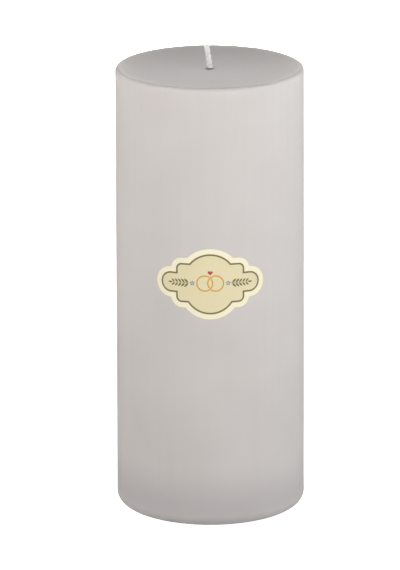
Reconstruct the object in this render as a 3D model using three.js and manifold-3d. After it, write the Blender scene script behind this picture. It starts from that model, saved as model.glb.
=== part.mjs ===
// Unity candle: a free-standing paraffin pillar with a braided cotton wick, the steel tab that anchors
// the wick in the base, and a die-cut paper label on the front.
//
// Millimetres, +Z up. The origin is the centre of the base, on the surface that the candle stands on.
// The front, where the label is, faces -Y, and +X is to the right of someone who looks at the label.

import * as THREE from "three";
import * as BufferGeometryUtils from "three/addons/utils/BufferGeometryUtils.js";
import Module from "manifold-3d";

// ---- Driving dimensions ----

// The pillar: a cast cylinder whose side widens by the mould's draft from the top to the base.
const pillarHeight = 180;
const baseDiameter = 75.6;
const mouldDraft = 0.3;
const shoulderRadius = 1.5;
const baseEdgeRadius = 4.5;

// The wick: its stub stands above the wax and leans towards -X. The stub curves about a bend point.
const wickDiameter = 2.5;
const wickStub = 8.6;
const wickLean = 1.2;
const wickBendHeight = 3.4;
const wickBendLean = 0.36;

// The wick tab: a thin disc, with a neck crimped around the wick's lower end.
const tabDiameter = 20;
const tabThickness = 0.4;
const neckLength = 6;
const neckWall = 0.5;
const neckRootRadius = 0.7;

// The recess in the base, which keeps the wick tab off the table. Its wall slopes, as it leaves the mould.
const recessDepth = 2.2;
const recessWallSlope = 0.8;

// The label's printed outline as laid flat: a block with rounded corners, a low arch on its top edge, a
// slightly larger one under it, and a round-ended lobe on each side. The paper is cut a margin outside it.
const blockWidth = 26.7;
const blockHeight = 15.4;
const blockCornerRadius = 2;
const topArchSpan = 16;
const topArchRise = 3.95;
const bottomArchSpan = 17.2;
const bottomArchRise = 4.6;
const lobeReach = 39.4;
const lobeHeight = 7.7;
const labelMargin = 2.4;
const labelThickness = 0.12;
const labelCentreHeight = 101.4;

// Clearances between neighbours.
const wickClearance = 0.2;
const tabClearance = 0.2;
const recessClearance = 3;
const crimpClearance = 0.05;
const labelClearance = 0.05;

// Smoothness, how far the sleeve that the label is cut from runs past the cut edge, and how near to each other
// two vertices are merged.
const pillarSides = 72;
const smallSides = 32;
const wickSides = 10;
const wickSteps = 48;
const edgeSteps = 6;
const labelSheetSides = 240;
const outlineSteps = 10;
const sleeveSpare = 1;
const mergeTolerance = 1e-4;

// ---- Values that follow from them ----

const baseRadius = baseDiameter / 2;
const topRadius = baseRadius - mouldDraft;
const wickRadius = wickDiameter / 2;
const neckInnerRadius = wickRadius + crimpClearance;
const neckRadius = neckInnerRadius + neckWall;
const tabRadius = tabDiameter / 2;
const recessRadius = tabRadius + recessClearance;
const tabUnderside = recessDepth - tabClearance - tabThickness;
const neckTop = tabUnderside + tabThickness + neckLength;

// The side's radius at a height, on the straight slope between the two edge roundings.
function sideRadius(height) {
  const slopeBottom = baseEdgeRadius;
  const slopeTop = pillarHeight - shoulderRadius;
  const share = (height - slopeBottom) / (slopeTop - slopeBottom);
  return baseRadius + (topRadius - baseRadius) * share;
}

// ---- Helpers ----

// A quarter-turn of an edge rounding, as profile points from one angle to another.
function roundedEdge(centreRadius, centreHeight, radius, fromAngle, toAngle) {
  const points = [];
  for (let step = 0; step <= edgeSteps; step += 1) {
    const angle = fromAngle + ((toAngle - fromAngle) * step) / edgeSteps;
    const across = centreRadius + radius * Math.cos(angle);
    const up = centreHeight + radius * Math.sin(angle);
    points.push(new THREE.Vector2(across, up));
  }
  return points;
}

// A closed profile turned about the vertical axis. The profile runs anticlockwise, radius across, height up.
function turned(profile, sides) {
  const closed = [...profile, profile[0].clone()];
  const geometry = new THREE.LatheGeometry(closed, sides);
  geometry.rotateX(Math.PI / 2);
  return geometry;
}

// A named mesh with its own finish.
function piece(name, geometry, colour, roughness, metalness) {
  const material = new THREE.MeshStandardMaterial({ color: colour, roughness, metalness });
  const mesh = new THREE.Mesh(geometry, material);
  mesh.name = name;
  return mesh;
}

// ---- Wax pillar ----

function waxPillar() {
  const boreRadius = wickRadius + wickClearance;
  const neckBoreRadius = neckRadius + wickClearance;
  const shoulder = roundedEdge(
    topRadius - shoulderRadius, pillarHeight - shoulderRadius, shoulderRadius, 0, Math.PI / 2,
  );
  const foot = roundedEdge(baseRadius - baseEdgeRadius, baseEdgeRadius, baseEdgeRadius, -Math.PI / 2, 0);
  const profile = [
    ...foot,
    ...shoulder,
    new THREE.Vector2(boreRadius, pillarHeight),
    new THREE.Vector2(boreRadius, neckTop + wickClearance),
    new THREE.Vector2(neckBoreRadius, neckTop + wickClearance),
    new THREE.Vector2(neckBoreRadius, recessDepth + neckRootRadius),
    new THREE.Vector2(neckBoreRadius + neckRootRadius, recessDepth),
    new THREE.Vector2(recessRadius - recessWallSlope, recessDepth),
    new THREE.Vector2(recessRadius, 0),
  ];
  return piece("wax_pillar", turned(profile, pillarSides), 0xd7d2cf, 0.35, 0);
}

// ---- Wick ----

// Straight up through the neck and the bore, then a gentle bend towards -X above the wax.
function wick() {
  const start = new THREE.Vector3(0, 0, tabUnderside);
  const wickExit = new THREE.Vector3(0, 0, pillarHeight);
  const bendPoint = new THREE.Vector3(-wickBendLean, 0, pillarHeight + wickBendHeight);
  const tip = new THREE.Vector3(-wickLean, 0, pillarHeight + wickStub);
  const route = new THREE.CurvePath();
  route.add(new THREE.LineCurve3(start, wickExit));
  route.add(new THREE.QuadraticBezierCurve3(wickExit, bendPoint, tip));
  const section = new THREE.Shape();
  section.absarc(0, 0, wickRadius, 0, 2 * Math.PI);
  const geometry = new THREE.ExtrudeGeometry(section, {
    steps: wickSteps,
    curveSegments: wickSides,
    extrudePath: route,
  });
  return piece("wick", geometry, 0xdedcd4, 0.85, 0);
}

// ---- Wick tab ----

function wickTab() {
  const discTop = tabUnderside + tabThickness;
  const profile = [
    new THREE.Vector2(neckInnerRadius, tabUnderside),
    new THREE.Vector2(tabRadius, tabUnderside),
    new THREE.Vector2(tabRadius, discTop),
    new THREE.Vector2(neckRadius + neckRootRadius, discTop),
    new THREE.Vector2(neckRadius, discTop + neckRootRadius),
    new THREE.Vector2(neckRadius, neckTop),
    new THREE.Vector2(neckInnerRadius, neckTop),
  ];
  return piece("wick_tab", turned(profile, smallSides), 0xb9bcc0, 0.35, 1);
}

// ---- Label ----

// The label's cut edge as laid flat. The block, the two arches and the side lobes are each grown by the
// margin and joined, which rounds every outer corner.
function blockOutline() {
  const halfWidth = blockWidth / 2 + labelMargin;
  const halfHeight = blockHeight / 2 + labelMargin;
  const corner = blockCornerRadius + labelMargin;
  const block = new THREE.Shape();
  block.absarc(halfWidth - corner, halfHeight - corner, corner, 0, Math.PI / 2);
  block.absarc(corner - halfWidth, halfHeight - corner, corner, Math.PI / 2, Math.PI);
  block.absarc(corner - halfWidth, corner - halfHeight, corner, Math.PI, 1.5 * Math.PI);
  block.absarc(halfWidth - corner, corner - halfHeight, corner, 1.5 * Math.PI, 2 * Math.PI);
  return block;
}

function lobesOutline() {
  const lobeRadius = lobeHeight / 2 + labelMargin;
  const lobeCentre = lobeReach / 2 - lobeHeight / 2;
  const lobes = new THREE.Shape();
  lobes.absarc(lobeCentre, 0, lobeRadius, -Math.PI / 2, Math.PI / 2);
  lobes.absarc(-lobeCentre, 0, lobeRadius, Math.PI / 2, 1.5 * Math.PI);
  return lobes;
}

// An arch is part of a circle through its peak and both its ends. side is 1 for the upper one and -1 for the
// lower one.
function archOutline(span, rise, side) {
  const radius = (rise ** 2 + (span / 2) ** 2) / (2 * rise);
  const centre = side * (blockHeight / 2 + rise - radius);
  const halfAngle = Math.asin(span / 2 / radius);
  const middle = (side * Math.PI) / 2;
  const arch = new THREE.Shape();
  arch.moveTo(0, 0);
  arch.absarc(0, centre, radius + labelMargin, middle - halfAngle, middle + halfAngle);
  return arch;
}

// A flat outline as it looks from the front once laid around the pillar, extruded from the axis to past the
// front.
function wrappedPrism(outline, wrapRadius) {
  const flat = outline.getPoints(outlineSteps);
  const wrapped = flat.map(({ x, y }) => new THREE.Vector2(wrapRadius * Math.sin(x / wrapRadius), y));
  const depth = wrapRadius + labelThickness + sleeveSpare;
  const prism = new THREE.ExtrudeGeometry(new THREE.Shape(wrapped), { depth, bevelEnabled: false });
  prism.rotateX(Math.PI / 2);
  prism.translate(0, 0, labelCentreHeight);
  return prism;
}

const wasm = await Module();
wasm.setup();

// A closed geometry as a solid that can be joined and cut.
function solid(geometry) {
  const shell = geometry.clone();
  shell.deleteAttribute("normal");
  shell.deleteAttribute("uv");
  const merged = BufferGeometryUtils.mergeVertices(shell, mergeTolerance);
  const vertProperties = new Float32Array(merged.attributes.position.array);
  const triVerts = new Uint32Array(merged.index.array);
  return new wasm.Manifold(new wasm.Mesh({ numProp: 3, vertProperties, triVerts }));
}

// A solid back as a geometry.
function geometryOf(manifold) {
  const { vertProperties, triVerts } = manifold.getMesh();
  const geometry = new THREE.BufferGeometry();
  geometry.setAttribute("position", new THREE.BufferAttribute(vertProperties, 3));
  geometry.setIndex(new THREE.BufferAttribute(triVerts, 1));
  geometry.computeVertexNormals();
  return geometry;
}

// The label is cut from a thin paper sleeve that follows the side's slope.
function frontLabel() {
  const reach = blockHeight / 2 + Math.max(topArchRise, bottomArchRise) + labelMargin + sleeveSpare;
  const low = labelCentreHeight - reach;
  const high = labelCentreHeight + reach;
  const sleeve = turned(
    [
      new THREE.Vector2(sideRadius(low) + labelClearance, low),
      new THREE.Vector2(sideRadius(low) + labelClearance + labelThickness, low),
      new THREE.Vector2(sideRadius(high) + labelClearance + labelThickness, high),
      new THREE.Vector2(sideRadius(high) + labelClearance, high),
    ],
    labelSheetSides,
  );
  const wrapRadius = sideRadius(labelCentreHeight) + labelClearance;
  const outlines = [
    blockOutline(),
    lobesOutline(),
    archOutline(topArchSpan, topArchRise, 1),
    archOutline(bottomArchSpan, bottomArchRise, -1),
  ];
  const [first, ...others] = outlines.map((outline) => solid(wrappedPrism(outline, wrapRadius)));
  const cutter = others.reduce((joined, next) => joined.add(next), first);
  const label = solid(sleeve).intersect(cutter);
  return piece("front_label", geometryOf(label), 0xf3eed2, 0.6, 0);
}

// ---- Assembly ----

const candle = new THREE.Group();
candle.add(waxPillar(), wick(), wickTab(), frontLabel());

export default candle;
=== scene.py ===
import math

import bmesh
import bpy
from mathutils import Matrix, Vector


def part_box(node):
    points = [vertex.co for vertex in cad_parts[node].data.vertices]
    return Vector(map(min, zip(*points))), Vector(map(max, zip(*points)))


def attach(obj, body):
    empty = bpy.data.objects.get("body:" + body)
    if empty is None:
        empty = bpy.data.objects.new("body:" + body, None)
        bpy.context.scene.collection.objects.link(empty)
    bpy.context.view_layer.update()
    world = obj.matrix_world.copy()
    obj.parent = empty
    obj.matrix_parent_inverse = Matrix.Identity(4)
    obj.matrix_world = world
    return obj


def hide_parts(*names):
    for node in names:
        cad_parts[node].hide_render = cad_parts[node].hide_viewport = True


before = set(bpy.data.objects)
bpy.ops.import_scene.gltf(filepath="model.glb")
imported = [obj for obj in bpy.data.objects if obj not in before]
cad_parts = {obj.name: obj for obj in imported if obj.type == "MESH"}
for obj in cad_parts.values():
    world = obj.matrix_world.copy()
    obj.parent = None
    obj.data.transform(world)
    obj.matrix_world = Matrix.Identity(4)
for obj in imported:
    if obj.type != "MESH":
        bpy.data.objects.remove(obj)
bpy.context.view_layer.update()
MM = 0.001

# ---- The wax pillar ----
# A tall cylinder of white paraffin, cast upside down in a polished mould, so its burning end is flat and
# glossy with a small soft shoulder. The other end was poured open: it has a rounder edge, a level ring to
# stand on and a shallow recess for the wick tab. The wax grips the wick, and climbs a little way up it.

wax_low, wax_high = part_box("wax_pillar")
tab_low, tab_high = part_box("wick_tab")
wick_low, wick_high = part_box("wick")
PILLAR_HEIGHT = wax_high.z
FOOT_RADIUS = (wax_high.x - wax_low.x) / 2
MOULD_DRAFT = 0.3 * MM
TOP_RADIUS = FOOT_RADIUS - MOULD_DRAFT
SHOULDER_RADIUS = 1.5 * MM
FOOT_EDGE_RADIUS = 4.5 * MM
RECESS_RADIUS = 13 * MM
RECESS_DEPTH = 2.2 * MM
RECESS_WALL_SLOPE = 0.8 * MM
WICK_RADIUS = (wick_high.y - wick_low.y) / 2
NECK_BORE_RADIUS = 2.0 * MM
NECK_ROOT = 0.7 * MM
TOP_SINK = 0.7 * MM
WAX_CLIMB = 0.2 * MM
CLIMB_REACH = 0.5 * MM
PILLAR_SIDES = 192
SHOULDER_STEPS = 8
FOOT_STEPS = 12
# Ring radii in mm, from the outside in: on the top, on the level part of the foot, and in the recess.
TOP_RINGS = (35.4, 34, 30, 25, 20, 15, 10, 7, 5, 4, 3.3, 2.8, 2.4, 2.05, 1.75, 1.5, 1.3, 1.12)
FOOT_RINGS = (32.5, 27, 20, RECESS_RADIUS / MM)
RECESS_RINGS = (8, 4, (NECK_BORE_RADIUS + NECK_ROOT) / MM)
# How near a point has to be to a level or to a rim to count as on it.
NEAR_LEVEL = 0.01 * MM
NEAR_RIM = 0.02 * MM


def start_editing(piece, mode):
    """Opens one piece for editing with nothing selected, in vertex, edge or face mode."""
    bpy.ops.object.select_all(action="DESELECT")
    piece.select_set(True)
    bpy.context.view_layer.objects.active = piece
    bpy.ops.object.mode_set(mode="EDIT")
    bpy.ops.mesh.select_mode(type=mode)
    bpy.ops.mesh.select_all(action="DESELECT")


def pick_faces(piece, wanted):
    """Selects the faces whose middle and normal pass a test, and nothing else."""
    bpy.ops.mesh.select_mode(type="FACE")
    bpy.ops.mesh.select_all(action="DESELECT")
    mesh = bmesh.from_edit_mesh(piece.data)
    for face in mesh.faces:
        if wanted(face.calc_center_median(), face.normal):
            face.select_set(True)
    bmesh.update_edit_mesh(piece.data)


def pick_edges(piece, wanted):
    """Selects the edges whose two ends both pass a test, and nothing else."""
    bpy.ops.mesh.select_mode(type="EDGE")
    bpy.ops.mesh.select_all(action="DESELECT")
    mesh = bmesh.from_edit_mesh(piece.data)
    for edge in mesh.edges:
        if all(wanted(corner.co) for corner in edge.verts):
            edge.select_set(True)
    bmesh.update_edit_mesh(piece.data)


def raise_selection(height):
    """Moves what is selected straight up."""
    bpy.ops.transform.translate(value=(0, 0, height))


def shrink_selection(factor, height):
    """Scales what is selected towards the pillar's axis."""
    bpy.ops.transform.resize(value=(factor, factor, 1), center_override=(0, 0, height))


def finish_editing(smooth_angle):
    """Merges doubles, turns every face outwards, leaves edit mode and shades the piece."""
    bpy.ops.mesh.select_all(action="SELECT")
    bpy.ops.mesh.remove_doubles(threshold=0.001 * MM)
    bpy.ops.mesh.normals_make_consistent(inside=False)
    bpy.ops.object.mode_set(mode="OBJECT")
    bpy.ops.object.shade_smooth_by_angle(angle=math.radians(smooth_angle))


def top_height(radius):
    """The burning end: sunk a little as the wax shrank, and drawn up in a small cone at the wick."""
    sink = TOP_SINK * (1 - (radius / TOP_RADIUS) ** 2)
    climb = WAX_CLIMB * math.exp((WICK_RADIUS - radius) / CLIMB_REACH)
    return climb - sink


bpy.ops.object.select_all(action="DESELECT")
bpy.ops.mesh.primitive_cylinder_add(
    vertices=PILLAR_SIDES, radius=FOOT_RADIUS, depth=PILLAR_HEIGHT, location=(0, 0, PILLAR_HEIGHT / 2)
)
pillar = bpy.context.object
pillar.name = "pillar_of_wax"
bpy.ops.object.transform_apply(location=True)
start_editing(pillar, "FACE")

pick_faces(pillar, lambda middle, normal: normal.z > 0.9)
shrink_selection(TOP_RADIUS / FOOT_RADIUS, PILLAR_HEIGHT)
pick_edges(pillar, lambda point: point.z > PILLAR_HEIGHT - NEAR_LEVEL)
bpy.ops.mesh.bevel(offset=SHOULDER_RADIUS, segments=SHOULDER_STEPS, affect="EDGES")
pick_edges(pillar, lambda point: point.z < NEAR_LEVEL)
bpy.ops.mesh.bevel(offset=FOOT_EDGE_RADIUS, segments=FOOT_STEPS, affect="EDGES")

# The top, ring by ring from the shoulder to the wick.
pick_faces(pillar, lambda middle, normal: normal.z > 0.99 and middle.z > PILLAR_HEIGHT - NEAR_LEVEL)
radius = TOP_RADIUS - SHOULDER_RADIUS
height = 0.0
for ring in TOP_RINGS:
    bpy.ops.mesh.inset(thickness=radius - ring * MM)
    radius = ring * MM
    raise_selection(top_height(radius) - height)
    height = top_height(radius)
bpy.ops.mesh.delete(type="FACE")

# The foot: a level ring, the recess with its sloping wall, and the bore that takes the tab's neck.
pick_faces(pillar, lambda middle, normal: normal.z < -0.99 and middle.z < NEAR_LEVEL)
radius = FOOT_RADIUS - FOOT_EDGE_RADIUS
for ring in FOOT_RINGS:
    bpy.ops.mesh.inset(thickness=radius - ring * MM)
    radius = ring * MM
bpy.ops.mesh.extrude_region_move(TRANSFORM_OT_translate={"value": (0, 0, RECESS_DEPTH)})
shrink_selection((RECESS_RADIUS - RECESS_WALL_SLOPE) / RECESS_RADIUS, RECESS_DEPTH)
radius = RECESS_RADIUS - RECESS_WALL_SLOPE
for ring in RECESS_RINGS:
    bpy.ops.mesh.inset(thickness=radius - ring * MM)
    radius = ring * MM
bpy.ops.mesh.inset(thickness=NECK_ROOT)
raise_selection(NECK_ROOT)
bpy.ops.mesh.extrude_region_move(TRANSFORM_OT_translate={"value": (0, 0, tab_high.z - RECESS_DEPTH)})
bpy.ops.mesh.inset(thickness=NECK_BORE_RADIUS - WICK_RADIUS)
bore_foot = NECK_ROOT + tab_high.z
bpy.ops.mesh.delete(type="FACE")

# The bore between them, and level rings up the side for the fine shape.
mouth_height = PILLAR_HEIGHT + top_height(TOP_RINGS[-1] * MM)


def on_bore_mouth(point):
    """Whether a point is on the rim at either end of the bore."""
    inside = math.hypot(point.x, point.y) < WICK_RADIUS + NEAR_RIM
    at_foot = abs(point.z - bore_foot) < NEAR_LEVEL
    at_top = abs(point.z - mouth_height) < NEAR_LEVEL
    return inside and (at_foot or at_top)


pick_edges(pillar, on_bore_mouth)
bpy.ops.mesh.bridge_edge_loops()
SIDE_RINGS = 72
SIDE_MARGIN = 0.8 * MM
side_foot = FOOT_EDGE_RADIUS + SIDE_MARGIN
side_top = PILLAR_HEIGHT - SHOULDER_RADIUS - SIDE_MARGIN
for step in range(SIDE_RINGS + 1):
    level = side_foot + (side_top - side_foot) * step / SIDE_RINGS
    bpy.ops.mesh.select_all(action="SELECT")
    bpy.ops.mesh.bisect(plane_co=(0, 0, level), plane_no=(0, 0, 1))
finish_editing(35)

# Cast wax is never quite true: the side wanders inwards by up to about a tenth of a millimetre.
SKIN_DEPTH = 0.5 * MM
SWELL_WIDTH = 26 * MM
SWELL_DEPTH = 0.12 * MM
wander = pillar.vertex_groups.new(name="cast_faces")
for point in pillar.data.vertices:
    reach = math.hypot(point.co.x, point.co.y)
    if reach > TOP_RADIUS - SKIN_DEPTH and side_foot < point.co.z < side_top:
        wander.add([point.index], 1.0, "REPLACE")
swell = bpy.data.textures.new("slow_swell", "CLOUDS")
swell.noise_scale = SWELL_WIDTH
swell.noise_depth = 1
unevenness = pillar.modifiers.new("unevenness", "DISPLACE")
unevenness.texture = swell
unevenness.texture_coords = "LOCAL"
unevenness.vertex_group = "cast_faces"
unevenness.mid_level = 1.0
unevenness.strength = SWELL_DEPTH
bpy.ops.object.modifier_apply(modifier="unevenness")
pillar.vertex_groups.clear()


def linear(hex_colour):
    """An sRGB hex colour as the linear red, green and blue that a shader takes."""
    channels = [int(hex_colour[start : start + 2], 16) / 255 for start in (1, 3, 5)]
    spread = [c / 12.92 if c <= 0.04045 else ((c + 0.055) / 1.055) ** 2.4 for c in channels]
    return (*spread, 1.0)


def add_node(tree, kind, settings, inputs):
    """Adds one node: its own settings, and for its inputs either values or the sockets that feed them."""
    node = tree.nodes.new("ShaderNode" + kind)
    for name, value in settings.items():
        setattr(node, name, value)
    for name, value in inputs.items():
        if isinstance(value, bpy.types.NodeSocket):
            tree.links.new(value, node.inputs[name])
        else:
            node.inputs[name].default_value = value
    return node


def new_material(name):
    """An empty node material, its tree and its object coordinates, which are in metres."""
    material = bpy.data.materials.new(name)
    material.use_nodes = True
    material.node_tree.nodes.clear()
    place = add_node(material.node_tree, "TexCoord", {}, {}).outputs["Object"]
    return material, material.node_tree, place


def cast_paraffin():
    """Cast paraffin, satin on the side and glossier where the polished end of the mould was.
    Light sinks in and comes out nearby, so edges glow softly and no shade is quite dark."""
    material, tree, place = new_material("cast_paraffin_wax")
    # Slow cloudiness, from wax that cooled at different speeds: patches about 30 mm across.
    cloud = add_node(tree, "TexNoise", {}, {"Vector": place, "Scale": 1 / (30 * MM), "Detail": 2.0})
    # Draw marks, where the wax slid out of the mould: 2.5 mm apart and long in the vertical.
    stretched = add_node(tree, "Mapping", {}, {"Vector": place, "Scale": (1, 1, 0.03)})
    draw = add_node(
        tree, "TexNoise", {}, {"Vector": stretched.outputs[0], "Scale": 1 / (2.5 * MM), "Detail": 3.0}
    )
    # Crystals under the surface, a fine bloom with a 0.9 mm grain.
    bloom = add_node(tree, "TexNoise", {}, {"Vector": place, "Scale": 1 / (0.9 * MM), "Detail": 2.0})
    mottle = add_node(
        tree, "Math", {"operation": "MULTIPLY_ADD"}, {0: draw.outputs[0], 1: 0.35, 2: cloud.outputs[0]}
    )
    shade = add_node(
        tree, "MapRange", {}, {"Value": mottle.outputs[0], "From Min": 0.35, "From Max": 0.95}
    )
    colour = add_node(
        tree,
        "Mix",
        {"data_type": "RGBA"},
        {"Factor": shade.outputs[0], "A": linear("#CBC8C6"), "B": linear("#D1CECC")},
    )
    # Painted shade: the wax colour is darkened towards the foot, fully below 6 mm and not at all above 26
    # mm, standing in for the shade low on the side.
    spots = add_node(tree, "SeparateXYZ", {}, {0: place}).outputs
    painted_foot_shade = add_node(
        tree,
        "MapRange",
        {"interpolation_type": "SMOOTHSTEP"},
        {"Value": spots["Z"], "From Min": 26 * MM, "From Max": 6 * MM},
    )
    # The wax colour with the painted shade at the foot mixed in.
    foot_shaded_colour = add_node(
        tree,
        "Mix",
        {"data_type": "RGBA"},
        {"Factor": painted_foot_shade.outputs[0], "A": colour.outputs["Result"], "B": linear("#C1BEBE")},
    )
    # The polished end of the mould: 1 on the flat top, 0 on the side and the foot, changing on the shoulder.
    level = add_node(tree, "CombineXYZ", {}, {"X": spots["X"], "Y": spots["Y"]})
    reach = add_node(tree, "VectorMath", {"operation": "LENGTH"}, {0: level.outputs[0]})
    within = add_node(
        tree,
        "MapRange",
        {"interpolation_type": "SMOOTHSTEP"},
        {
            "Value": reach.outputs["Value"],
            "From Min": TOP_RADIUS - 0.6 * SHOULDER_RADIUS,
            "From Max": TOP_RADIUS - 1.1 * SHOULDER_RADIUS,
        },
    )
    upper = add_node(tree, "Math", {"operation": "GREATER_THAN"}, {0: spots["Z"], 1: PILLAR_HEIGHT / 2})
    on_top = add_node(tree, "Math", {"operation": "MULTIPLY"}, {0: within.outputs[0], 1: upper.outputs[0]})
    satin = add_node(
        tree, "MapRange", {}, {"Value": bloom.outputs[0], "To Min": 0.6, "To Max": 0.7}
    )
    gloss = add_node(
        tree, "MapRange", {}, {"Value": cloud.outputs[0], "To Min": 0.12, "To Max": 0.2}
    )
    roughness = add_node(
        tree,
        "Mix",
        {"data_type": "FLOAT"},
        {"Factor": on_top.outputs[0], "A": satin.outputs[0], "B": gloss.outputs[0]},
    )
    draw_marks = add_node(
        tree, "Bump", {}, {"Height": draw.outputs[0], "Strength": 0.25, "Distance": 0.05 * MM}
    )
    grain = add_node(
        tree,
        "Bump",
        {},
        {
            "Height": bloom.outputs[0],
            "Strength": 0.2,
            "Distance": 0.02 * MM,
            "Normal": draw_marks.outputs[0],
        },
    )
    wax = add_node(
        tree,
        "BsdfPrincipled",
        {"subsurface_method": "RANDOM_WALK"},
        {
            "Base Color": foot_shaded_colour.outputs["Result"],
            "Roughness": roughness.outputs["Result"],
            "Normal": grain.outputs[0],
            "IOR": 1.44,
            "Specular IOR Level": 0.35,
            "Subsurface Weight": 1.0,
            "Subsurface Radius": (1.0, 0.95, 0.9),
            "Subsurface Scale": 12 * MM,
        },
    )
    add_node(tree, "OutputMaterial", {}, {"Surface": wax.outputs[0]})
    return material


pillar.data.materials.append(cast_paraffin())
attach(pillar, "root")
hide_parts("wax_pillar")

# ---- The wick ----
# Cotton yarns braided round in a firm cord, four one way and four the other, then dipped in wax so that it
# stands up. It runs the whole height of the pillar, and its cut stub leans a little to the left.

WICK_LEAN = 1.2 * MM
WICK_STUB = 8.6 * MM
YARN_RADIUS = 0.43 * MM
YARNS_EACH_WAY = 4
YARN_PITCH = 8.5 * MM
YARN_SWAY = 0.12 * MM
TIP_TAPER = 0.12
YARN_STEP = 0.16 * MM
# The share of the lean that the stub takes evenly. The rest comes in a curve, most of it near the tip.
EVEN_LEAN = 0.6
wick_foot = wick_low.z
WICK_LENGTH = PILLAR_HEIGHT + WICK_STUB - wick_foot


def wick_middle(along):
    """A point on the wick's centre line, at a height above its foot: straight, then bent over the wax."""
    above = wick_foot + along - PILLAR_HEIGHT
    if above <= 0:
        return Vector((0, 0, wick_foot + along))
    share = above / WICK_STUB
    lean = WICK_LEAN * (EVEN_LEAN * share + (1 - EVEN_LEAN) * share**2)
    return Vector((-lean, 0, PILLAR_HEIGHT + above))


def yarn_line(number, way, start, end):
    """One yarn's path between two heights. It passes over one yarn and under the next."""
    points = []
    steps = round((end - start) / YARN_STEP)
    for step in range(steps + 1):
        along = start + (end - start) * step / steps
        turn = 2 * math.pi * along / YARN_PITCH
        above = max(0.0, wick_foot + along - PILLAR_HEIGHT) / WICK_STUB
        slim = 1 - TIP_TAPER * above
        sway = way * YARN_SWAY * math.cos(YARNS_EACH_WAY * turn)
        out = (WICK_RADIUS - YARN_RADIUS - YARN_SWAY + sway) * slim
        angle = 2 * math.pi * number / YARNS_EACH_WAY + way * turn
        points.append(wick_middle(along) + Vector((out * math.cos(angle), out * math.sin(angle), 0)))
    return points


def drawn_tube(name, lines, radius, resolution):
    """Round tubes along lines of points, as one mesh with closed ends."""
    curve = bpy.data.curves.new(name, "CURVE")
    curve.dimensions = "3D"
    curve.bevel_depth = radius
    curve.bevel_resolution = resolution
    curve.use_fill_caps = True
    for line in lines:
        spline = curve.splines.new("POLY")
        spline.points.add(len(line) - 1)
        for point, place in zip(spline.points, line):
            point.co = (*place, 1)
    tube = bpy.data.objects.new(name, curve)
    bpy.context.scene.collection.objects.link(tube)
    bpy.ops.object.select_all(action="DESELECT")
    tube.select_set(True)
    bpy.context.view_layer.objects.active = tube
    bpy.ops.object.convert(target="MESH")
    return bpy.context.object


def join(pieces, name):
    """Joins pieces into the first one and names it."""
    bpy.ops.object.select_all(action="DESELECT")
    for piece in pieces:
        piece.select_set(True)
    bpy.context.view_layer.objects.active = pieces[0]
    bpy.ops.object.join()
    pieces[0].name = name
    return pieces[0]


# The braid shows at the stub and under the base. In between, inside the wax, it is drawn as a plain core.
BRAID_BELOW_TOP = 3 * MM
BRAID_ABOVE_NECK = 1 * MM
CORE_STEPS = 60
CORE_SHARE = 0.999
stub_start = PILLAR_HEIGHT - wick_foot - BRAID_BELOW_TOP
neck_end = tab_high.z - wick_foot + BRAID_ABOVE_NECK
yarns = []
for start, end in ((0.0, neck_end), (stub_start, WICK_LENGTH)):
    for way in (1, -1):
        for number in range(YARNS_EACH_WAY):
            yarns.append(yarn_line(number, way, start, end))
core_line = [wick_middle(WICK_LENGTH * CORE_SHARE * step / CORE_STEPS) for step in range(CORE_STEPS + 1)]
braid = drawn_tube("braid", yarns, YARN_RADIUS, 2)
core = drawn_tube("core", [core_line], WICK_RADIUS - 2 * YARN_RADIUS, 3)
wick = join([braid, core], "braided_wick")
bpy.ops.object.shade_smooth_by_angle(angle=math.radians(50))


def waxed_cotton():
    """Cotton yarn soaked with wax: off-white, with its twist just showing through a dull, waxy skin."""
    material, tree, place = new_material("waxed_cotton_yarn")
    # The yarn's own twist, one ply every 0.35 mm, laid over at a slant.
    slanted = add_node(tree, "Mapping", {}, {"Vector": place, "Rotation": (0.6, 0.5, 0)})
    ply = add_node(
        tree,
        "TexWave",
        {"wave_type": "BANDS", "bands_direction": "Z"},
        {"Vector": slanted.outputs[0], "Scale": 0.314 / (0.35 * MM), "Distortion": 1.5, "Detail": 2.0},
    )
    # Lint and uneven waxing, about 0.6 mm across.
    lint = add_node(tree, "TexNoise", {}, {"Vector": place, "Scale": 1 / (0.6 * MM), "Detail": 4.0})
    colour = add_node(
        tree,
        "Mix",
        {"data_type": "RGBA"},
        {"Factor": lint.outputs[0], "A": linear("#DEDDD9"), "B": linear("#F0F0EE")},
    )
    roughness = add_node(
        tree, "MapRange", {}, {"Value": lint.outputs[0], "To Min": 0.45, "To Max": 0.7}
    )
    twist = add_node(
        tree, "Bump", {}, {"Height": ply.outputs[0], "Strength": 0.5, "Distance": 0.04 * MM}
    )
    cotton = add_node(
        tree,
        "BsdfPrincipled",
        {},
        {
            "Base Color": colour.outputs["Result"],
            "Roughness": roughness.outputs[0],
            "Normal": twist.outputs[0],
            "IOR": 1.47,
            "Subsurface Weight": 0.4,
            "Subsurface Radius": (1.0, 0.9, 0.8),
            "Subsurface Scale": 0.4 * MM,
            "Sheen Weight": 0.15,
            "Sheen Roughness": 0.5,
        },
    )
    add_node(tree, "OutputMaterial", {}, {"Surface": cotton.outputs[0]})
    return material


wick.data.materials.append(waxed_cotton())
# The stub isn't mirrored in the glossy top, where it would read as a dark crack in the wax.
wick.visible_glossy = False
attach(wick, "root")
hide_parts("wick")

# ---- The wick tab ----
# A disc stamped from thin tinned steel, with a neck drawn up from its middle. The neck was squeezed from
# four sides on the wick, and the disc keeps the wick from pulling up through the wax.

TAB_RADIUS = (tab_high.x - tab_low.x) / 2
TAB_THICKNESS = 0.4 * MM
NECK_RADIUS = 1.8 * MM
NECK_INNER_RADIUS = 1.3 * MM
NECK_ROOT_FILLET = 0.7 * MM
TAB_SIDES = 96
TAB_UNDERSIDE_RING = 3.2 * MM
# Rings on the disc, in mm: how far out, and how far each is raised. The stamped rib stiffens the disc.
RIB_RINGS = ((7.6, 0), (7.2, -0.15), (6.4, -0.15), (6.0, 0.15), (3.6, 0))
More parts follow.
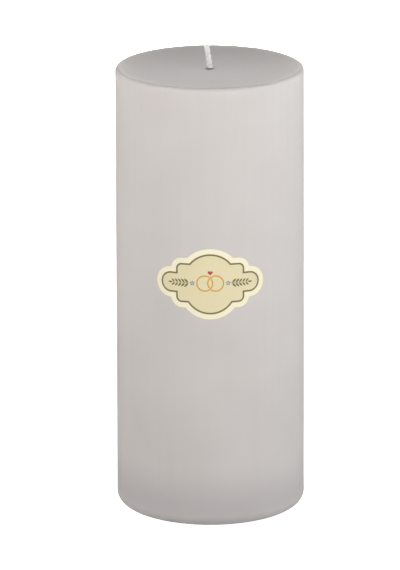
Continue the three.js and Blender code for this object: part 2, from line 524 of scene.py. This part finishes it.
# The same in metres, where the disc curves up into the neck.
NECK_RINGS = (
    (NECK_RADIUS + NECK_ROOT_FILLET, 0),
    (NECK_RADIUS + 0.2 * MM, 0.2 * MM),
    (NECK_RADIUS, 0.5 * MM),
)
NECK_STEPS = 8
# The crimp: how deep the four marks are as a share of the radius, and where they start up the neck.
SQUEEZE = 0.14
SQUEEZE_START = 0.2
bpy.ops.object.select_all(action="DESELECT")
bpy.ops.mesh.primitive_cylinder_add(
    vertices=TAB_SIDES,
    radius=TAB_RADIUS,
    depth=TAB_THICKNESS,
    location=(0, 0, tab_low.z + TAB_THICKNESS / 2),
)
tab = bpy.context.object
tab.name = "stamped_wick_tab"
bpy.ops.object.transform_apply(location=True)
start_editing(tab, "FACE")
disc_top = tab_low.z + TAB_THICKNESS
pick_faces(tab, lambda middle, normal: normal.z > 0.9)
radius = TAB_RADIUS
for ring, rise in RIB_RINGS:
    bpy.ops.mesh.inset(thickness=radius - ring * MM)
    radius = ring * MM
    if rise:
        raise_selection(rise * MM)
for ring, rise in NECK_RINGS:
    bpy.ops.mesh.inset(thickness=radius - ring)
    radius = ring
    if rise:
        raise_selection(rise)
neck_rise = (tab_high.z - disc_top - NECK_ROOT_FILLET) / NECK_STEPS
for step in range(NECK_STEPS):
    bpy.ops.mesh.extrude_region_move(TRANSFORM_OT_translate={"value": (0, 0, neck_rise)})
bpy.ops.mesh.inset(thickness=NECK_RADIUS - NECK_INNER_RADIUS)
bpy.ops.mesh.delete(type="FACE")
pick_faces(tab, lambda middle, normal: normal.z < -0.9 and middle.z < tab_low.z + NEAR_LEVEL)
bpy.ops.mesh.inset(thickness=TAB_RADIUS - TAB_UNDERSIDE_RING)
bpy.ops.mesh.inset(thickness=TAB_UNDERSIDE_RING - NECK_INNER_RADIUS)
bpy.ops.mesh.delete(type="FACE")


def on_neck_mouth(point):
    """Whether a point is on the rim at either end of the neck."""
    at_rim = math.hypot(point.x, point.y) < NECK_INNER_RADIUS + NEAR_RIM
    at_end = point.z < tab_low.z + NEAR_LEVEL or point.z > tab_high.z - 0.3 * MM
    return at_rim and at_end


pick_edges(tab, on_neck_mouth)
bpy.ops.mesh.bridge_edge_loops()
finish_editing(30)
for point in tab.data.vertices:
    reach = math.hypot(point.co.x, point.co.y)
    up = (point.co.z - disc_top) / (tab_high.z - disc_top)
    if reach < NECK_RADIUS + NEAR_LEVEL and up > SQUEEZE_START:
        side = math.atan2(point.co.y, point.co.x)
        along_neck = min(1.0, (up - SQUEEZE_START) / (1 - SQUEEZE_START))
        squeeze = SQUEEZE * max(0.0, math.cos(4 * side)) ** 2 * math.sin(math.pi * along_neck)
        point.co.x *= 1 - squeeze
        point.co.y *= 1 - squeeze


def tin_plate():
    """Tin plate from the press: bright and slightly grey, with fine rolling lines and dull scuffs."""
    material, tree, place = new_material("stamped_tin_plate")
    rolled = add_node(tree, "Mapping", {}, {"Vector": place, "Scale": (0.04, 1, 1)})
    lines = add_node(
        tree, "TexNoise", {}, {"Vector": rolled.outputs[0], "Scale": 1 / (0.25 * MM), "Detail": 4.0}
    )
    scuffs = add_node(tree, "TexNoise", {}, {"Vector": place, "Scale": 1 / (3 * MM), "Detail": 5.0})
    colour = add_node(
        tree,
        "Mix",
        {"data_type": "RGBA"},
        {"Factor": scuffs.outputs[0], "A": linear("#B9BBBD"), "B": linear("#D3D4D5")},
    )
    roughness = add_node(
        tree, "MapRange", {}, {"Value": scuffs.outputs[0], "To Min": 0.22, "To Max": 0.5}
    )
    grain = add_node(
        tree, "Bump", {}, {"Height": lines.outputs[0], "Strength": 0.3, "Distance": 0.01 * MM}
    )
    tin = add_node(
        tree,
        "BsdfPrincipled",
        {},
        {
            "Base Color": colour.outputs["Result"],
            "Roughness": roughness.outputs[0],
            "Normal": grain.outputs[0],
            "Metallic": 1.0,
        },
    )
    add_node(tree, "OutputMaterial", {}, {"Surface": tin.outputs[0]})
    return material


tab.data.materials.append(tin_plate())
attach(tab, "root")
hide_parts("wick_tab")

# ---- The label ----
# Self-adhesive paper, printed and then cut to the shape of a scalloped plaque. A cream margin runs round
# an olive line, the field inside it is tinted, and a plain ornament of two linked rings between leafy
# sprigs is printed in the middle. It is drawn flat, then rolled on to the pillar.

label_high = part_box("front_label")[1]
BLOCK_HALF = Vector((13.35, 7.7)) * MM
BLOCK_CORNER = 2 * MM
TOP_ARCH = Vector((8, 3.95)) * MM
BOTTOM_ARCH = Vector((8.6, 4.6)) * MM
LOBE_REACH = 19.7 * MM
LOBE_RADIUS = 3.85 * MM
PAPER_MARGIN = 2.4 * MM
LINE_HALF_WIDTH = 0.34 * MM
LABEL_HEIGHT = label_high.z - BLOCK_HALF.y - TOP_ARCH.y - PAPER_MARGIN
PAPER_THICKNESS = 0.1 * MM
PAPER_SUNK = 0.03 * MM
ARC_STEPS = 28


def arc(centre, radius, start, end, steps=ARC_STEPS):
    """Points along part of a circle, the angles in degrees."""
    points = []
    for step in range(steps + 1):
        angle = math.radians(start + (end - start) * step / steps)
        points.append(Vector((centre[0] + radius * math.cos(angle), centre[1] + radius * math.sin(angle))))
    return points


def arch_arc(arch, side, margin):
    """Half of the arch above (side 1) or under (side -1) the block, from its peak to the block's edge."""
    radius = (arch.y**2 + arch.x**2) / (2 * arch.y)
    centre = BLOCK_HALF.y + arch.y - radius
    meets = math.degrees(math.asin((BLOCK_HALF.y + margin - centre) / (radius + margin)))
    return arc((0, side * centre), radius + margin, side * 90, side * meets)


def plaque_outline(margin):
    """The plaque's outline, grown by a margin: half of it worked out, then mirrored."""
    lobe_centre = LOBE_REACH - LOBE_RADIUS
    lobe_top = LOBE_RADIUS + margin
    corner = BLOCK_CORNER + margin
    corner_x = BLOCK_HALF.x - BLOCK_CORNER
    corner_z = BLOCK_HALF.y - BLOCK_CORNER
    # The block's side is straight down to the lobe, unless the margin has rounded it away.
    dips = math.degrees(math.asin(max(0.0, lobe_top - corner_z) / corner))
    corner_arc = arc((corner_x, corner_z), corner, 90, dips)
    meeting = Vector((corner_arc[-1].x, lobe_top))
    lobe_arc = arc((lobe_centre, 0), lobe_top, 90, 0)
    upper = arch_arc(TOP_ARCH, 1, margin) + corner_arc + [meeting] + lobe_arc
    lower_block = [Vector((p.x, -p.y)) for p in corner_arc + [meeting] + lobe_arc]
    lower = arch_arc(BOTTOM_ARCH, -1, margin) + lower_block
    right = upper + lower[::-1]
    left = [Vector((-p.x, p.y)) for p in right[::-1]]
    outline = []
    for point in right + left:
        if not outline or (point - outline[-1]).length > 0.005 * MM:
            outline.append(point)
    if (outline[0] - outline[-1]).length < 0.005 * MM:
        outline.pop()
    return outline


def flat_layer(name, outlines, back, front, material):
    """A flat, upright shape that faces forward, filled between its outlines, from back to front."""
    curve = bpy.data.curves.new(name, "CURVE")
    curve.dimensions = "2D"
    curve.fill_mode = "BOTH"
    curve.extrude = (front - back) / 2
    for outline in outlines:
        spline = curve.splines.new("POLY")
        spline.points.add(len(outline) - 1)
        for point, place in zip(spline.points, outline):
            point.co = (place.x, place.y, 0, 1)
        spline.use_cyclic_u = True
    layer = bpy.data.objects.new(name, curve)
    bpy.context.scene.collection.objects.link(layer)
    layer.rotation_euler = (math.pi / 2, 0, 0)
    layer.location = (0, -(front + back) / 2, 0)
    bpy.ops.object.select_all(action="DESELECT")
    layer.select_set(True)
    bpy.context.view_layer.objects.active = layer
    bpy.ops.object.convert(target="MESH")
    layer = bpy.context.object
    bpy.ops.object.transform_apply(location=True, rotation=True)
    layer.data.materials.clear()
    layer.data.materials.append(material)
    return layer


def ring_band(centre, radius, half_width, gap_at, gap_half):
    """A ring with a short gap in it, where the other ring passes over."""
    outer = arc(centre, radius + half_width, gap_at + gap_half, gap_at + 360 - gap_half, 64)
    inner = arc(centre, radius - half_width, gap_at + gap_half, gap_at + 360 - gap_half, 64)
    return outer + inner[::-1]


def leaf(root, angle, length, width):
    """A pointed leaf."""
    along = Vector((math.cos(angle), math.sin(angle)))
    across = Vector((-along.y, along.x))
    steps = 12
    edge = [(step / steps, math.sin(math.pi * (step / steps) ** 0.8)) for step in range(steps + 1)]
    upper = [root + along * (length * t) + across * (width * s / 2) for t, s in edge]
    lower = [root + along * (length * t) - across * (width * s / 2) for t, s in edge[1:-1]]
    return upper + lower[::-1]


def mirrored(outline):
    """The same outline on the other side of the middle."""
    return [Vector((-p.x, p.y)) for p in outline[::-1]]


def printed_paper(name, base, tint):
    """Satin label paper, plain or under a flat ink: a faint fibre cloud and a soft, even sheen."""
    material, tree, place = new_material(name)
    # Paper fibres mat together in flocks about 1.2 mm across.
    fibres = add_node(
        tree, "TexNoise", {}, {"Vector": place, "Scale": 1 / (1.2 * MM), "Detail": 5.0, "Roughness": 0.65}
    )
    colour = add_node(
        tree,
        "Mix",
        {"data_type": "RGBA"},
        {"Factor": fibres.outputs[0], "A": linear(base), "B": linear(tint)},
    )
    roughness = add_node(
        tree, "MapRange", {}, {"Value": fibres.outputs[0], "To Min": 0.42, "To Max": 0.56}
    )
    tooth = add_node(
        tree, "Bump", {}, {"Height": fibres.outputs[0], "Strength": 0.15, "Distance": 0.02 * MM}
    )
    paper = add_node(
        tree,
        "BsdfPrincipled",
        {},
        {
            "Base Color": colour.outputs["Result"],
            "Roughness": roughness.outputs[0],
            "Normal": tooth.outputs[0],
            "IOR": 1.5,
        },
    )
    add_node(tree, "OutputMaterial", {}, {"Surface": paper.outputs[0]})
    return material


cream_paper = printed_paper("cream_label_paper", "#EFE9CB", "#F3EED4")
tinted_field = printed_paper("beige_ink_on_paper", "#DCD3AC", "#E1D9B4")
olive_ink = printed_paper("olive_ink_on_paper", "#736C44", "#7E774E")
gold_ink = printed_paper("gold_ochre_ink_on_paper", "#C79236", "#D9A548")
red_ink = printed_paper("red_ink_on_paper", "#A8433A", "#B7534A")
blue_ink = printed_paper("blue_ink_on_paper", "#4A5C8C", "#566A9C")

# Two linked rings, each passing under the other once.
RING_RADIUS = 3.1 * MM
RING_HALF_WIDTH = 0.26 * MM
RING_OFFSET = 2.15 * MM
RING_GAP = 9
crossing = math.degrees(math.acos(RING_OFFSET / RING_RADIUS))
rings = [
    ring_band((-RING_OFFSET, 0), RING_RADIUS, RING_HALF_WIDTH, crossing, RING_GAP),
    ring_band((RING_OFFSET, 0), RING_RADIUS, RING_HALF_WIDTH, 180 + crossing, RING_GAP),
]

# A sprig on each side: a thin stem with leaves in pairs that get smaller, and a blossom at its root.
STEM_START = 8.3 * MM
STEM_END = 15.2 * MM
STEM_HALF_WIDTH = 0.11 * MM
LEAF_PAIRS = 5
LEAF_ANGLE = math.radians(46)
leaves = [leaf(Vector((STEM_END, 0)), 0, 1.9 * MM, 0.75 * MM)]
for pair in range(LEAF_PAIRS):
    share = pair / LEAF_PAIRS
    root_x = STEM_START + 0.5 * MM + (STEM_END - STEM_START) * share
    for side in (1, -1):
        root = Vector((root_x, side * 1.4 * STEM_HALF_WIDTH))
        length = (2.3 - 0.6 * share) * MM
        breadth = (0.85 - 0.2 * share) * MM
        leaves.append(leaf(root, side * LEAF_ANGLE, length, breadth))
stem = [
    Vector((STEM_START, -STEM_HALF_WIDTH)),
    Vector((STEM_END - 0.05 * MM, -STEM_HALF_WIDTH / 2)),
    Vector((STEM_END - 0.05 * MM, STEM_HALF_WIDTH / 2)),
    Vector((STEM_START, STEM_HALF_WIDTH)),
]
right_sprig = leaves + [stem]
petals = []
BLOSSOM_X = 7.1 * MM
PETALS = 5
blossom_middle = arc((BLOSSOM_X, 0), 0.2 * MM, 0, 330, 11)
blossom_middles = [blossom_middle, mirrored(blossom_middle)]
for petal in range(PETALS):
    angle = math.radians(90 + 360 / PETALS * petal)
    root = Vector((BLOSSOM_X, 0)) + Vector((math.cos(angle), math.sin(angle))) * 0.26 * MM
    petals.append(leaf(root, angle, 0.8 * MM, 0.5 * MM))
HEART_HALF = 0.5 * MM
HEART_Z = 4.55 * MM
heart_right = arc((HEART_HALF, HEART_Z), HEART_HALF * 1.02, 170, -40, 16)
heart = heart_right + [Vector((0, HEART_Z - 2.3 * HEART_HALF))]
heart += [Vector((-p.x, p.y)) for p in heart_right[::-1]]
heart = [p for number, p in enumerate(heart) if (p - heart[number - 1]).length > 0.01 * MM]

INK_THICKNESS = 0.012 * MM
field_front = PAPER_THICKNESS + INK_THICKNESS
ink_front = field_front + INK_THICKNESS
layers = [
    flat_layer("paper", [plaque_outline(PAPER_MARGIN)], -PAPER_SUNK, PAPER_THICKNESS, cream_paper),
    flat_layer("field", [plaque_outline(-LINE_HALF_WIDTH)], PAPER_THICKNESS, field_front, tinted_field),
    flat_layer(
        "line",
        [plaque_outline(LINE_HALF_WIDTH), plaque_outline(-LINE_HALF_WIDTH)],
        PAPER_THICKNESS,
        ink_front,
        olive_ink,
    ),
    flat_layer("rings", rings, field_front, ink_front, gold_ink),
    flat_layer("sprig_right", right_sprig, field_front, ink_front, olive_ink),
    flat_layer("sprig_left", [mirrored(o) for o in right_sprig], field_front, ink_front, olive_ink),
    flat_layer("blossom_right", petals, field_front, ink_front, blue_ink),
    flat_layer("blossom_left", [mirrored(o) for o in petals], field_front, ink_front, blue_ink),
    flat_layer("blossom_middles", blossom_middles, field_front, ink_front, gold_ink),
    flat_layer("heart", [heart], field_front, ink_front, red_ink),
]
label = join(layers, "printed_label")

# Upright cuts every 0.8 mm let it bend, and then it is rolled round the pillar's side.
start_editing(label, "FACE")
CUT_STEP = 0.8 * MM
# The first cut is this share of a step in from the end, so that no cut runs through a corner.
FIRST_CUT = 0.37
cut_reach = LOBE_REACH + PAPER_MARGIN
cuts = int(2 * cut_reach / CUT_STEP)
for cut in range(cuts):
    bpy.ops.mesh.select_all(action="SELECT")
    bpy.ops.mesh.bisect(plane_co=(-cut_reach + (cut + FIRST_CUT) * CUT_STEP, 0, 0), plane_no=(1, 0, 0))
finish_editing(30)


def side_radius(height):
    """The pillar's radius at a height on its sloping side."""
    slope_height = PILLAR_HEIGHT - SHOULDER_RADIUS - FOOT_EDGE_RADIUS
    return FOOT_RADIUS - MOULD_DRAFT * (height - FOOT_EDGE_RADIUS) / slope_height


wrap_radius = side_radius(LABEL_HEIGHT)
width = max(p.co.x for p in label.data.vertices) - min(p.co.x for p in label.data.vertices)
roll = label.modifiers.new("roll", "SIMPLE_DEFORM")
roll.deform_method = "BEND"
roll.deform_axis = "Z"
roll.angle = width / wrap_radius
bpy.ops.object.modifier_apply(modifier="roll")
slope = math.atan(MOULD_DRAFT / (PILLAR_HEIGHT - SHOULDER_RADIUS - FOOT_EDGE_RADIUS))
label.rotation_euler = (-slope, 0, 0)
label.location = (0, -wrap_radius, LABEL_HEIGHT)
bpy.ops.object.transform_apply(location=True, rotation=True)
# The paper is thin enough for light to pass into the wax, so it doesn't dim the wax around it.
label.visible_shadow = False
label.visible_diffuse = False
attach(label, "root")
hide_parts("front_label")

# ---- The studio ----
# A white table, with soft lamps close in at the front and sides, a large one far to the right and one
# behind. A bright strip low behind the candle shows in the gloss of its top, and light from straight below
# fills the underside of its foot.

TABLE_RADIUS = 9
TABLE_DROP = 0.02 * MM
bpy.ops.object.select_all(action="DESELECT")
bpy.ops.mesh.primitive_circle_add(
    vertices=128, radius=TABLE_RADIUS, fill_type="NGON", location=(0, 0, -TABLE_DROP)
)
table = bpy.context.object
table.name = "white_table"
# What the table shines with towards the camera, so that it looks white all over.
TABLE_LIFT = 0.93
table_paint = bpy.data.materials.new("white_table_laminate")
table_paint.use_nodes = True
table_paint.node_tree.nodes.clear()
laminate = add_node(
    table_paint.node_tree,
    "BsdfPrincipled",
    {},
    {
        "Base Color": linear("#F4F4F4"),
        "Roughness": 0.6,
        "Emission Color": linear("#FFFFFF"),
        "Emission Strength": TABLE_LIFT,
    },
)
add_node(table_paint.node_tree, "OutputMaterial", {}, {"Surface": laminate.outputs[0]})
table.data.materials.append(table_paint)
# It only backs the candle, and neither lights it, shades it nor shows in it.
table.visible_diffuse = False
table.visible_glossy = False
table.visible_shadow = False

# The surround's brightness by height, from straight below to straight above, in front of the candle and
# behind.
FRONT_LEVELS = (
    (-90, 0.9),
    (-55, 0.9),
    (-40, 0.05),
    (0, 0.05),
    (8, 0.05),
    (14, 0.04),
    (25, 0.03),
    (90, 0.03),
)
BACK_LEVELS = (
    (-90, 0.9),
    (-55, 0.9),
    (-40, 0.02),
    (0, 0.1),
    (7, 0.35),
    (11, 1.4),
    (14, 1.3),
    (19, 0.18),
    (26, 0.05),
    (90, 0.04),
)
# The surround is faintly warm: its green and blue against its red.
SURROUND_GREEN = 0.98
SURROUND_BLUE = 0.97
world = bpy.data.worlds.new("studio_surround")
bpy.context.scene.world = world
world.use_nodes = True
world.node_tree.nodes.clear()
sky = world.node_tree
direction = add_node(sky, "TexCoord", {}, {}).outputs["Generated"]
parts = add_node(sky, "SeparateXYZ", {}, {0: direction}).outputs
steepness = add_node(sky, "Math", {"operation": "ARCSINE"}, {0: parts["Z"]})
level_share = add_node(
    sky, "MapRange", {}, {"Value": steepness.outputs[0], "From Min": -math.pi / 2, "From Max": math.pi / 2}
)
flat_length = add_node(sky, "Math", {"operation": "COSINE"}, {0: steepness.outputs[0]})
towards_back = add_node(sky, "Math", {"operation": "DIVIDE"}, {0: parts["Y"], 1: flat_length.outputs[0]})
back_share = add_node(
    sky, "MapRange", {}, {"Value": towards_back.outputs[0], "From Min": -1.0, "From Max": 1.0}
)


def level_ramp(levels):
    """Brightness by height, as a colour ramp over the angle from straight below to straight above."""
    node = add_node(sky, "ValToRGB", {}, {0: level_share.outputs[0]})
    stops = node.color_ramp.elements
    while len(stops) < len(levels):
        stops.new(0.5)
    for stop, (degrees, level) in zip(stops, levels):
        stop.position = (degrees + 90) / 180
    for stop, (degrees, level) in zip(stops, levels):
        stop.color = (level, SURROUND_GREEN * level, SURROUND_BLUE * level, 1)
    return node.outputs[0]


surround = add_node(
    sky,
    "Mix",
    {"data_type": "RGBA"},
    {"Factor": back_share.outputs[0], "A": level_ramp(FRONT_LEVELS), "B": level_ramp(BACK_LEVELS)},
)
seen = add_node(sky, "LightPath", {}, {}).outputs["Is Camera Ray"]
white = add_node(
    sky, "Mix", {"data_type": "RGBA"}, {"Factor": seen, "A": surround.outputs["Result"], "B": (1, 1, 1, 1)}
)
glow = add_node(sky, "Background", {}, {"Color": white.outputs["Result"], "Strength": 1.0})
add_node(sky, "OutputWorld", {}, {"Surface": glow.outputs[0]})


LIGHT_AIM = Vector((0, 0, 0.12))


def soft_light(name, distance, side_angle, height_angle, size, watts, colour):
    """A square soft light at a distance from a point two thirds of the way up the candle. The angles are to
    the right and up, and a light with a side angle of 0 stands in front."""
    lamp = bpy.data.lights.new(name, "AREA")
    lamp.shape = "SQUARE"
    lamp.size = size
    lamp.energy = watts
    lamp.color = linear(colour)[:3]
    holder = bpy.data.objects.new(name, lamp)
    bpy.context.scene.collection.objects.link(holder)
    across = math.radians(side_angle)
    up = math.radians(height_angle)
    away = Vector((math.sin(across) * math.cos(up), -math.cos(across) * math.cos(up), math.sin(up)))
    holder.location = LIGHT_AIM + away * distance
    holder.rotation_euler = (-away).to_track_quat("-Z", "Y").to_euler()
    holder.visible_camera = False
    # A lamp this near would draw a hard bright line along the satin edges.
    holder.visible_glossy = False


soft_light("low_left", 0.45, -70, 12, 0.3, 0.70, "#FFFBF9")
soft_light("low_front_left", 0.45, -40, 12, 0.3, 0.95, "#FFFBF9")
soft_light("low_front_right", 0.45, 40, 12, 0.3, 1.09, "#FFFDFC")
soft_light("low_right", 0.45, 70, 12, 0.3, 0.36, "#FDFCFC")
soft_light("high_front_left", 0.4, -40, 50, 0.3, 0.10, "#FFFBF9")
soft_light("high_front_right", 0.4, 40, 50, 0.3, 0.08, "#FFFDFC")
soft_light("far_right", 0.9, 60, 25, 0.7, 2.2, "#FDFCFC")
soft_light("far_back", 0.9, 180, 0, 0.4, 6.0, "#FFFFFF")

# The camera stands well back with a long lens, a little above the candle and looking down at it.
CAMERA_DISTANCE = 2.1342
CAMERA_HEIGHT = 0.7091
PITCH_DOWN = 16.179
TURN_LEFT = 0.1096
ROLL = -0.18
LENS = 350.3
lens = bpy.data.cameras.new("camera")
lens.lens = LENS
lens.sensor_width = 36
lens.clip_start = 0.1
lens.clip_end = 30
camera = bpy.data.objects.new("camera", lens)
bpy.context.scene.collection.objects.link(camera)
camera.location = (0, -CAMERA_DISTANCE, CAMERA_HEIGHT)
camera.rotation_euler = (math.radians(90 - PITCH_DOWN), 0, math.radians(TURN_LEFT))
camera.rotation_euler.rotate_axis("Z", math.radians(ROLL))
bpy.context.scene.camera = camera
bpy.context.scene.view_settings.view_transform = "Standard"
